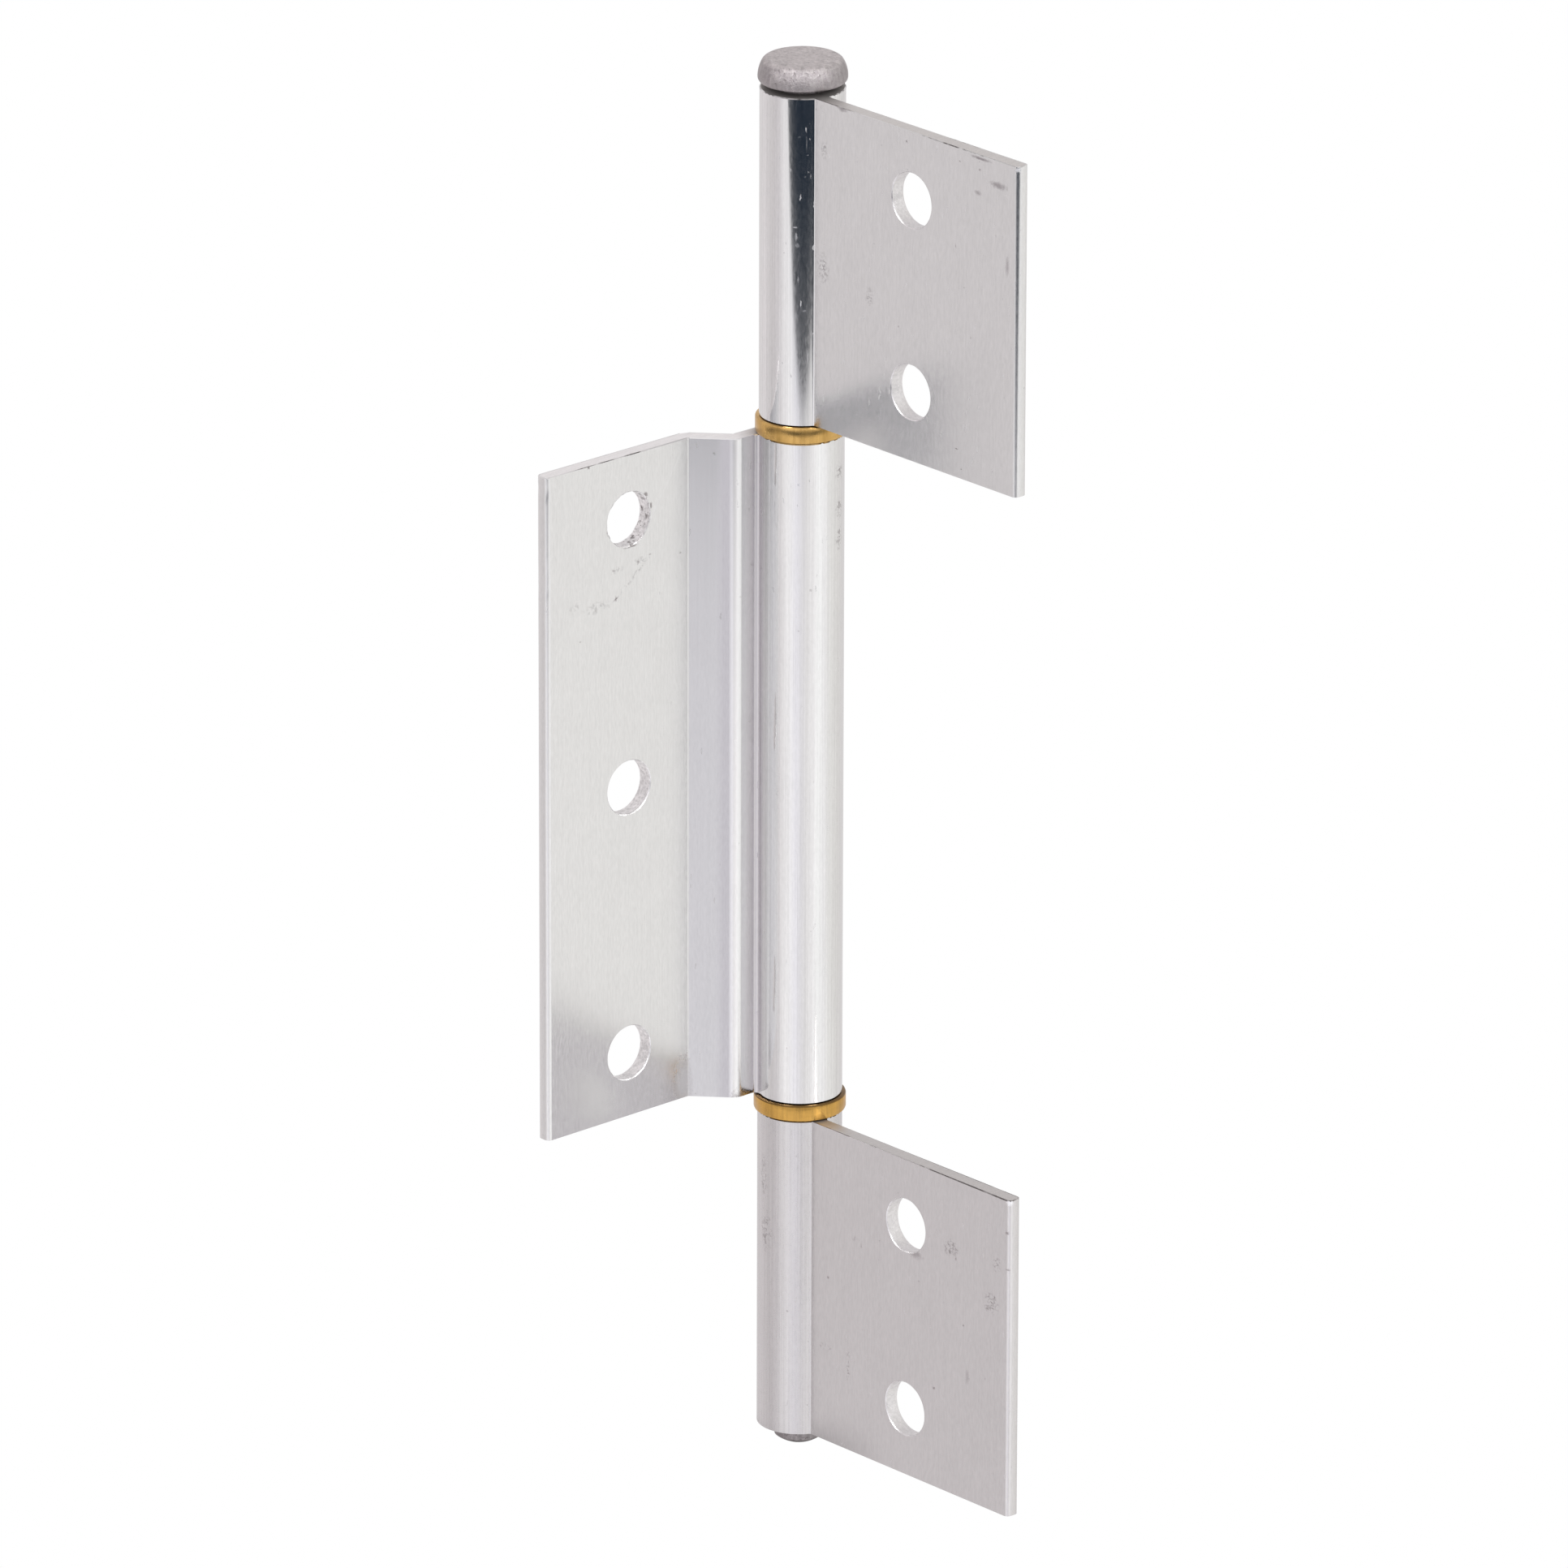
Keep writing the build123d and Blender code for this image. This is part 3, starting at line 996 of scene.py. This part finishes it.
@dataclass
class HingePin:
    """The headed pin, turned from its half section."""

    node: str = "hinge_pin"
    radius: float = 2.78
    underside: float = 80.25
    head_radius: float = 5.05
    head_height: float = 2.8
    head_crown: float = 0.1
    side_radius: float = 3.5
    lower_radius: float = 0.55
    upper_radius: float = 0.8
    tip: float = -82.2
    tip_dome: float = 1.0
    neck: float = 0.15

    def half_section(self) -> list[Vector]:
        """The section from the crown's middle, round the button and down to the tip's middle."""
        top = self.underside + self.head_height
        rim = top - self.head_crown
        widest = self.underside + self.lower_radius
        side = Vector((self.head_radius - self.side_radius, widest))
        rim_radius = side.x + sqrt(self.side_radius**2 - (rim - widest) ** 2)
        ball = (rim_radius**2 + self.head_crown**2) / (2 * self.head_crown)
        crown = Vector((0.0, top - ball))
        corner = circles_cross(side, self.side_radius - self.upper_radius, crown, ball - self.upper_radius)
        on_crown = crown + (corner - crown).normalized() * ball
        on_side = side + (corner - side).normalized() * self.side_radius
        equator = Vector((self.head_radius, widest))
        lower = Vector((self.head_radius - self.lower_radius, widest))
        tip_ball = (self.radius**2 + self.tip_dome**2) / (2 * self.tip_dome)
        tip_rim = Vector((self.radius, self.tip + self.tip_dome))
        tip_shade_end = Vector((0.0, self.tip))
        return [
            *arc(crown, Vector((0.0, top)), on_crown, 8),
            *arc(corner, on_crown, on_side, 8)[1:],
            *arc(side, on_side, equator, 14)[1:],
            *arc(lower, equator, Vector((lower.x, self.underside)), 10)[1:],
            Vector((self.radius + self.neck, self.underside)),
            Vector((self.radius, self.underside - self.neck)),
            *arc(Vector((0.0, self.tip + tip_ball)), tip_rim, tip_shade_end, 10),
        ]

    def build(self) -> bpy.types.Object:
        """Spin the half section and dint the head."""
        bm = spin_section(self.half_section(), closed=False, steps=144)
        bmesh.ops.remove_doubles(bm, verts=bm.verts, dist=1e-4)
        self.dint_head(bm)
        return finish_mesh(bm, self.node + "_steel", 50.0)

    def dint_head(self, bm: bmesh.types.BMesh) -> None:
        """Leave the head slightly uneven, as cold heading does."""
        widest = self.underside + self.lower_radius
        for vert in bm.verts:
            if vert.co.z > self.underside + 0.02:
                swell = noise.noise(vert.co * 0.35) * 0.03 - 0.02
                outward = Vector((vert.co.x, vert.co.y, 0.6 * (vert.co.z - widest)))
                vert.co += outward.normalized() * swell


@dataclass(frozen=True)
class Studio:
    """A plain white studio: floor, soft lamps and the camera at the photograph's angle.

    Bearings are in degrees round the pin from the camera's own bearing, positive to the right.
    """

    camera_azimuth: float = 47.7
    camera_elevation: float = 20.18
    camera_distance: float = 1842.7
    camera_pitch: float = 20.257
    camera_yaw: float = -0.062
    camera_roll: float = 0.152
    lens: float = 377.1
    sensor: float = 36.0
    floor_height: float = -83.0
    floor_size: float = 12000.0
    sheet_front: float = 373.0       # from the pin forward to the sheet's front edge
    sheet_turn: float = 3.0          # degrees between that edge and the camera's own line
    sheet_fade: float = 6.0
    room_depth: float = 85.0         # over which the room past the edge grows dark
    room_near: Triple = (0.124, 0.127, 0.136)
    room_deep: Triple = (0.021, 0.031, 0.047)
    shadow_reach: float = 13.0
    shadow_tone: Triple = (0.1, 0.09, 0.09)
    glow: float = 1.22
    lamp_distance: float = 1300.0
    lamp_size: float = 420.0
    lamp_elevation: float = 38.0

    def bearing(self, angle: float, elevation: float, distance: float) -> Vector:
        """A place seen from the pin at a bearing, an elevation and a distance, in metres."""
        turn = radians(self.camera_azimuth + angle)
        rise = radians(elevation)
        return Vector((sin(turn) * cos(rise), -cos(turn) * cos(rise), sin(rise))) * distance * METRE

    def camera(self) -> None:
        """Set the camera where the photograph was taken from."""
        turn = Matrix.Rotation(radians(self.camera_azimuth), 3, "Z")
        angles = (self.camera_yaw, self.camera_pitch, self.camera_roll)
        yaw, pitch, roll = (radians(angle) for angle in angles)
        ahead = Vector((sin(yaw) * cos(pitch), cos(yaw) * cos(pitch), -sin(pitch)))
        right = Vector((cos(yaw), -sin(yaw), 0.0))
        up = right.cross(ahead)
        tilted_right = right * cos(roll) + up * sin(roll)
        tilted_up = up * cos(roll) - right * sin(roll)
        axes = Matrix((turn @ tilted_right, turn @ tilted_up, turn @ -ahead)).transposed()
        data = bpy.data.cameras.new("camera")
        data.lens = self.lens
        data.sensor_width = self.sensor
        data.clip_start = 0.05
        data.clip_end = 50.0
        camera = add_object("camera", data)
        place = self.bearing(0.0, self.camera_elevation, self.camera_distance)
        camera.matrix_world = Matrix.Translation(place) @ axes.to_4x4()
        bpy.context.scene.camera = camera

    def floor(self) -> None:
        """A wide white floor, turned so that its -Y side faces the camera."""
        bm = bmesh.new()
        bmesh.ops.create_grid(bm, x_segments=1, y_segments=1, size=self.floor_size * METRE / 2)
        mesh = bpy.data.meshes.new("floor")
        bm.to_mesh(mesh)
        bm.free()
        floor = add_object("floor", mesh)
        floor.location = (0.0, 0.0, self.floor_height * METRE)
        floor.rotation_euler = (0.0, 0.0, radians(self.camera_azimuth + self.sheet_turn))
        mesh.materials.append(self.floor_material())

    def floor_material(self) -> bpy.types.Material:
        """White to the camera.

        In the metal it shows the light tent all round it, the hinge's own shadow under the pin, and the
        dark room past the front edge of the white sheet.
        """
        bench = NodeBench(bpy.data.materials.new("white_sheet"))
        coordinates = bench.add("TexCoord").outputs["Object"]
        forward = bench.times(bench.add("SeparateXYZ", {0: coordinates}).outputs["Y"], -1.0 / METRE)
        room_start = self.sheet_front + self.sheet_fade
        past_front = bench.span(forward, self.sheet_front, room_start)
        shade = bench.span(bench.length(coordinates), 0.0, self.shadow_reach * METRE, 0.75, 0.0)
        deep = bench.span(forward, room_start, room_start + self.room_depth)
        gloom = bench.mix(deep, self.room_near, self.room_deep)
        room = bench.add("Emission", {"Color": gloom}).outputs[0]
        shadow = bench.add("Emission", {"Color": (*self.shadow_tone, 1.0)}).outputs[0]
        tent = bench.add("BsdfTransparent").outputs[0]
        near = bench.add("MixShader", {0: shade, 1: tent, 2: shadow}).outputs[0]
        mirrored = bench.add("MixShader", {0: past_front, 1: near, 2: room}).outputs[0]
        white = bench.add("Emission", {"Color": (1.0, 1.0, 1.0, 1.0)}).outputs[0]
        bench.show(mirrored, white, "Material Output")
        return bench.owner

    def world(self) -> None:
        """The light tent: white to the camera, and soft light by bearing to the metal."""
        bench = NodeBench(bpy.data.worlds.new("studio"), "Background")
        bpy.context.scene.world = bench.owner
        direction = bench.add("TexCoord").outputs["Generated"]
        turn = (0.0, 0.0, radians(90.0 - self.camera_azimuth))
        turned = bench.add("Mapping", {"Vector": direction, "Rotation": turn}).outputs["Vector"]
        bearing = bench.add("TexGradient", {"Vector": turned}, gradient_type="RADIAL").outputs["Fac"]
        ramp = bench.add("ValToRGB", {"Fac": bearing})
        self.fill_ramp(ramp.color_ramp)
        bench.feed(bench.shader, {"Color": ramp.outputs["Color"], "Strength": self.glow})
        white = bench.add("Background", {"Color": (1.0, 1.0, 1.0, 1.0)}).outputs[0]
        bench.show(bench.shader.outputs[0], white, "World Output")

    def fill_ramp(self, ramp: bpy.types.ColorRamp) -> None:
        """Tones of the light tent by bearing: two soft boxes' glow, a gap between, dimmer sides."""
        tones = {
            -180.0: (0.640, 0.620, 0.625),
            -145.0: (0.680, 0.655, 0.660),
            -122.0: (0.735, 0.700, 0.710),
            -95.0: (0.640, 0.612, 0.618),
            -84.0: (0.610, 0.580, 0.588),
            -66.0: (0.670, 0.640, 0.655),
            -50.0: (0.830, 0.810, 0.820),
            -33.0: (0.920, 0.905, 0.918),
            -13.0: (0.875, 0.860, 0.908),
            2.0: (0.785, 0.770, 0.795),
            16.0: (0.800, 0.785, 0.790),
            33.0: (0.915, 0.900, 0.908),
            47.0: (0.990, 0.990, 0.990),
            66.0: (0.880, 0.870, 0.875),
            85.0: (0.812, 0.802, 0.787),
            114.0: (0.725, 0.710, 0.697),
            150.0: (0.665, 0.645, 0.645),
            180.0: (0.640, 0.620, 0.625),
        }
        while len(ramp.elements) < len(tones):
            ramp.elements.new(0.5)
        for element, (bearing, tone) in zip(ramp.elements, tones.items()):
            element.position = (bearing + 180.0) / 360.0
            element.color = (*tone, 1.0)

    def lamp(self, name: str, angle: float, power: float) -> None:
        """A square soft box of a power in watts, facing the hinge from a bearing."""
        data = bpy.data.lights.new(name, "AREA")
        data.size = self.lamp_size * METRE
        data.energy = power
        lamp = add_object(name, data)
        lamp.location = self.bearing(angle, self.lamp_elevation, self.lamp_distance)
        lamp.rotation_euler = (-lamp.location).to_track_quat("-Z", "Y").to_euler()

    def set_up(self) -> None:
        """Build the whole studio."""
        self.camera()
        self.floor()
        self.world()
        self.lamp("left_soft_box", -42.0, 5.0)
        self.lamp("right_soft_box", 40.0, 6.0)
        bpy.context.scene.view_settings.view_transform = "Standard"
        log.info("studio ready, camera %.0f mm from the pin", self.camera_distance)


@dataclass
class Hinge:
    """The whole hinge: its sizes shared between pieces, and the finish of each."""

    door_length: float = 78.6
    jamb_length: float = 38.1
    washer_thickness: float = 1.9
    axial_gap: float = 0.15
    jamb_hole_spacing: float = 22.225
    door_hole_spacing: float = 31.75

    def jamb_leaf(self, node: str, bottom: float, skin: MillSkin, sawn: SawnEnd, burr: SawBurr) -> None:
        """Build and dress one jamb leaf, standing at a height."""
        middle = bottom + self.jamb_length / 2
        heights = tuple(middle + side * self.jamb_hole_spacing / 2 for side in (-1, 1))
        leaf = JambLeaf(
            node=node, bottom=bottom, length=self.jamb_length, out=Vector((1, 0, 0)),
            showing=Vector((0, -1, 0)), hole_heights=heights, hole_distance=20.1,
        )
        wall = PunchedWall(node + "_punched", (0.77, 0.755, 0.76), tearing=0.12)
        fit_piece(leaf.build(), node, Slot.JAMB_LEAF, skin, sawn, wall, burr)

    def upper_leaf(self, bottom: float) -> None:
        """The upper jamb leaf: a bright drawn knuckle with scratches and painted glints, and a few rubs by
        its top.
        """
        marks = (
            *on_jamb(RUB_AND_SHADE,
                (34.1, 76.8, 1.9, 0.55, 0.6), (30.8, 75.2, 0.8, 0.4, 0.45), (31.3, 79.2, 2.2, 0.25, 0.7),
                (8.8, 79.6, 1.3, 0.6, 0.6), (35.6, 67.9, 0.4, 1.7, 0.4),
            ),
            *on_jamb(SCUFF, (5.8, 60.3, 1.2, 2.4), (5.9, 74.0, 0.6, 1.6), (13.3, 58.9, 0.9, 1.3)),
            *on_jamb(CHIP,
                (31.1, 77.9, 0.25, 0.2, 0.5), (27.9, 78.1, 0.25, 0.16, 0.4), (19.3, 78.3, 0.2, 0.26, 0.6),
                (27.3, 68.2, 0.14, 0.3, 0.4), (27.6, 44.8, 0.5, 0.12, 0.5), (28.4, 42.6, 0.18, 0.14, 0.5),
                (29.8, 58.2, 0.18, 0.14, 0.35), (18.1, 56.6, 0.16, 0.14, 0.35),
            ),
            # Painted highlights: a bright spot on the free edge's top corner, and glints along the knuckle's
            # scratches.
            Mark(GLINT, (37.0, -1.9, 79.3), (0.4, 0.5, 0.4), 1.0),
            *on_knuckle(GLINT,
                (53.1, 74.5, 0.09, 1.3, 0.5), (54.3, 73.1, 0.18, 0.16, 0.5), (44.0, 75.2, 0.2, 0.14, 0.3),
                (57.3, 76.8, 0.14, 0.12, 0.4), (55.3, 71.1, 0.16, 0.2, 0.5), (51.2, 70.6, 0.16, 0.14, 0.4),
                (58.6, 70.6, 0.1, 0.4, 0.5), (38.4, 64.7, 0.4, 0.14, 0.6), (39.6, 63.6, 0.2, 0.6, 0.5),
                (41.5, 62.6, 0.4, 0.4, 0.3), (42.5, 58.6, 0.14, 0.5, 0.35), (51.0, 55.0, 0.3, 0.2, 0.3),
                (55.0, 49.5, 0.12, 1.1, 0.35),
            ),
        )
        skin = MillSkin(
            "upper_jamb_leaf_skin", (0.74, 0.738, 0.738), scratch_share=0.12, seed_offset=3.0, marks=marks,
        )
        burr = SawBurr("upper_jamb_leaf_burr", skin.tone)
        self.jamb_leaf("upper_jamb_leaf", bottom, skin, SawnEnd("upper_jamb_leaf_sawn"), burr)

    def lower_leaf(self, bottom: float) -> None:
        """The lower jamb leaf: darker all over as painted shade, rougher on its knuckle, and scuffed towards
        its free edge.
        """
        marks = (
            *on_jamb(RUB_AND_SHADE, (21.7, -52.4, 1.7, 0.7, 0.45), (30.4, -64.7, 0.5, 1.3, 0.3)),
            *on_jamb(SCUFF,
                (27.6, -49.9, 1.7, 1.5, 1.0), (34.2, -54.6, 1.7, 1.9, 1.0), (35.1, -49.6, 0.9, 1.7),
                (11.7, -53.6, 0.9, 0.6), (10.6, -69.3, 0.45, 3.2), (6.8, -68.2, 1.3, 0.6),
            ),
            *on_jamb(CHIP,
                (24.9, -67.7, 0.3, 0.26, 0.6), (22.3, -55.5, 0.2, 0.16, 0.4), (7.2, -59.6, 0.26, 0.26, 0.5),
                (12.7, -54.1, 0.12, 0.5, 0.4), (27.4, -50.4, 0.2, 0.5, 0.6), (28.4, -51.0, 0.16, 0.3, 0.5),
                (33.6, -55.4, 0.35, 0.2, 0.5), (34.8, -53.8, 0.2, 0.4, 0.5),
            ),
            Mark(CHIP, (36.7, -1.9, -45.4), (0.4, 0.5, 0.35), 0.7),
            Mark(CHIP, (36.8, -1.9, -49.8), (0.35, 0.5, 0.2), 0.6),
            # A painted highlight on the free edge's top corner.
            Mark(GLINT, (36.9, -1.9, -41.8), (0.5, 0.6, 0.45), 1.0),
            *on_knuckle(SCUFF, (-4.0, -55.5, 1.2, 3.4, 1.0), (-10.0, -49.0, 1.0, 3.6)),
            *on_knuckle(CHIP, (31.5, -64.6, 0.2, 0.2, 0.4)),
        )
        # The skin, sawn ends and burr of this leaf are darker than the upper leaf's, as painted shade for the
        # lesser light low down.
        skin = MillSkin(
            "lower_jamb_leaf_skin", (0.672, 0.657, 0.66), knuckle_roughness=0.28, knuckle_share=0.93,
            speck_share=0.09, seed_offset=41.0, marks=marks,
        )
        sawn = SawnEnd("lower_jamb_leaf_sawn", (0.6, 0.58, 0.57))
        burr = SawBurr("lower_jamb_leaf_burr", (0.5, 0.48, 0.48), dark_level=0.42)
        self.jamb_leaf("lower_jamb_leaf", bottom, skin, sawn, burr)

    def door_leaf(self) -> None:
        """Build and dress the door leaf, with a trail of scuffs under its top screw hole."""
        marks = (
            # Painted shadow at the foot of the strip, where it meets the lower washer.
            Mark(RUB_AND_SHADE, (-3.2, -6.5, -39.5), (1.4, 1.7, 1.8), 0.8),
            # Painted shade on the screw face's lower end, with a flat grey tone over the brass reflection
            # there.
            *on_door(RUB_AND_SHADE, (12.0, -38.2, 4.0, 4.5, 0.2)),
            *on_door(HAZE_AND_SHADE, (11.6, -37.4, 2.0, 4.2, 1.0)),
            *on_door(SCUFF, (24.4, 22.4, 2.6, 0.9, 0.6), (28.0, 23.2, 1.4, 0.7, 0.4)),
            *on_door(SCUFF, (19.2, 24.8, 3.8, 0.45, 0.55), lean=37.0),
            *on_door(SCUFF, (21.6, 26.2, 1.5, 0.6, 0.5), (18.2, 26.5, 1.4, 0.6, 0.5)),
            *on_door(CHIP, (21.8, 22.8, 0.7, 0.14, 0.6), lean=30.0),
            *on_door(CHIP,
                (21.8, 22.8, 0.14, 0.5, 0.6), (22.1, 26.2, 0.4, 0.12, 0.4), (18.5, 26.4, 0.18, 0.3, 0.4),
                (16.7, 26.9, 0.3, 0.14, 0.4), (27.1, 19.0, 0.18, 0.14, 0.4), (25.8, 39.2, 0.25, 0.3),
                (12.2, 26.0, 0.2, 0.18, 0.5), (17.4, 34.0, 0.5, 0.5, 0.7), (16.6, 32.6, 0.3, 0.5, 0.7),
                (19.6, 28.5, 1.5, 0.2, 0.7), (23.0, 31.0, 0.2, 0.7, 0.6),
            ),
            *on_knuckle(SCUFF,
                (108.0, 35.4, 1.0, 1.6, 1.0), (108.5, 31.0, 1.0, 1.7, 1.0), (109.0, 27.4, 1.0, 1.8, 1.0),
            ),
            *on_knuckle(CHIP,
                (109.0, 35.6, 0.3, 0.3, 0.4), (108.0, 31.4, 0.2, 0.8, 0.5), (109.5, 28.2, 0.2, 0.6, 0.45),
                (107.5, 27.2, 0.2, 0.4, 0.45), (60.4, 22.1, 0.2, 0.25, 0.35), (44.2, 17.3, 0.14, 0.14, 0.3),
            ),
            # A painted highlight on the knuckle.
            *on_knuckle(GLINT, (43.5, 34.6, 0.2, 0.16, 1.0)),
        )
        skin = MillSkin(
            "door_leaf_skin", (0.74, 0.738, 0.735), seed_offset=17.0, marks=marks,
            # Painted light in bands: shade over the slanted step, darker shade where it leaves the strip's
            # bend, a painted highlight along that bend, and shade in the crease where the strip meets the
            # knuckle.
            painted_light_bands=(
                PaintedLightBand(-7.75, -10.98, (0.598, 0.595, 0.594), polish=0.05),
                PaintedLightBand(-7.7, -8.6, (0.53, 0.52, 0.53), far_fade=0.3, polish=0.08),
                PaintedLightBand(-7.1, -7.75, (0.84, 0.835, 0.835)),
                PaintedLightBand(-3.2, -5.7, (0.6, 0.58, 0.595), near_fade=0.4, far_fade=1.0, within_x=-1.6),
            ),
        )
        leaf = DoorLeaf(
            node="door_leaf", bottom=-self.door_length / 2, length=self.door_length,
            out=Vector((0, -1, 0)), showing=Vector((1, 0, 0)),
            hole_heights=tuple(step * self.door_hole_spacing for step in (-1, 0, 1)),
            hole_distance=19.85, root_radius=0.55, hole_tear=(0.03, 0.03, 0.16),
            nicks=(Nick(37.7, 0.035, 1.2), Nick(27.2, 0.035, 2.3)),
        )
        sawn = SawnEnd("door_leaf_sawn", (0.9, 0.885, 0.885))
        wall = PunchedWall("door_leaf_punched", chipped_above=26.0)
        burr = SawBurr("door_leaf_burr", skin.tone, dark_level=0.6)
        fit_piece(leaf.build(), "door_leaf", Slot.DOOR_LEAF, skin, sawn, wall, burr)

    def build(self) -> None:
        """Build and dress every piece."""
        start = self.door_length / 2 + self.washer_thickness + 2 * self.axial_gap
        self.door_leaf()
        self.upper_leaf(start)
        self.lower_leaf(-start - self.jamb_length)
        low = -start + self.axial_gap
        # The lower washer's top rim is darkened as grime and painted shade of the gap under the door leaf's
        # knuckle.
        grime_and_shade_above = low + self.washer_thickness - 0.25
        for bottom, brass in (
            (self.door_length / 2 + self.axial_gap, TurnedBrass("upper_thrust_washer")),
            (low, TurnedBrass("lower_thrust_washer", (0.69, 0.4, 0.1), grime_and_shade_above=grime_and_shade_above)),
        ):
            fit_piece(ThrustWasher(brass.name, bottom).build(), brass.name, Slot.WASHER, brass)
        fit_piece(HingePin().build(), "hinge_pin", Slot.PIN, HeadedSteel())


def main() -> None:
    """Build the studio and the hinge, in order."""
    logging.basicConfig(level=logging.INFO, format="%(name)s: %(message)s")
    Studio().set_up()
    Hinge().build()


if __name__ == "__main__":
    main()
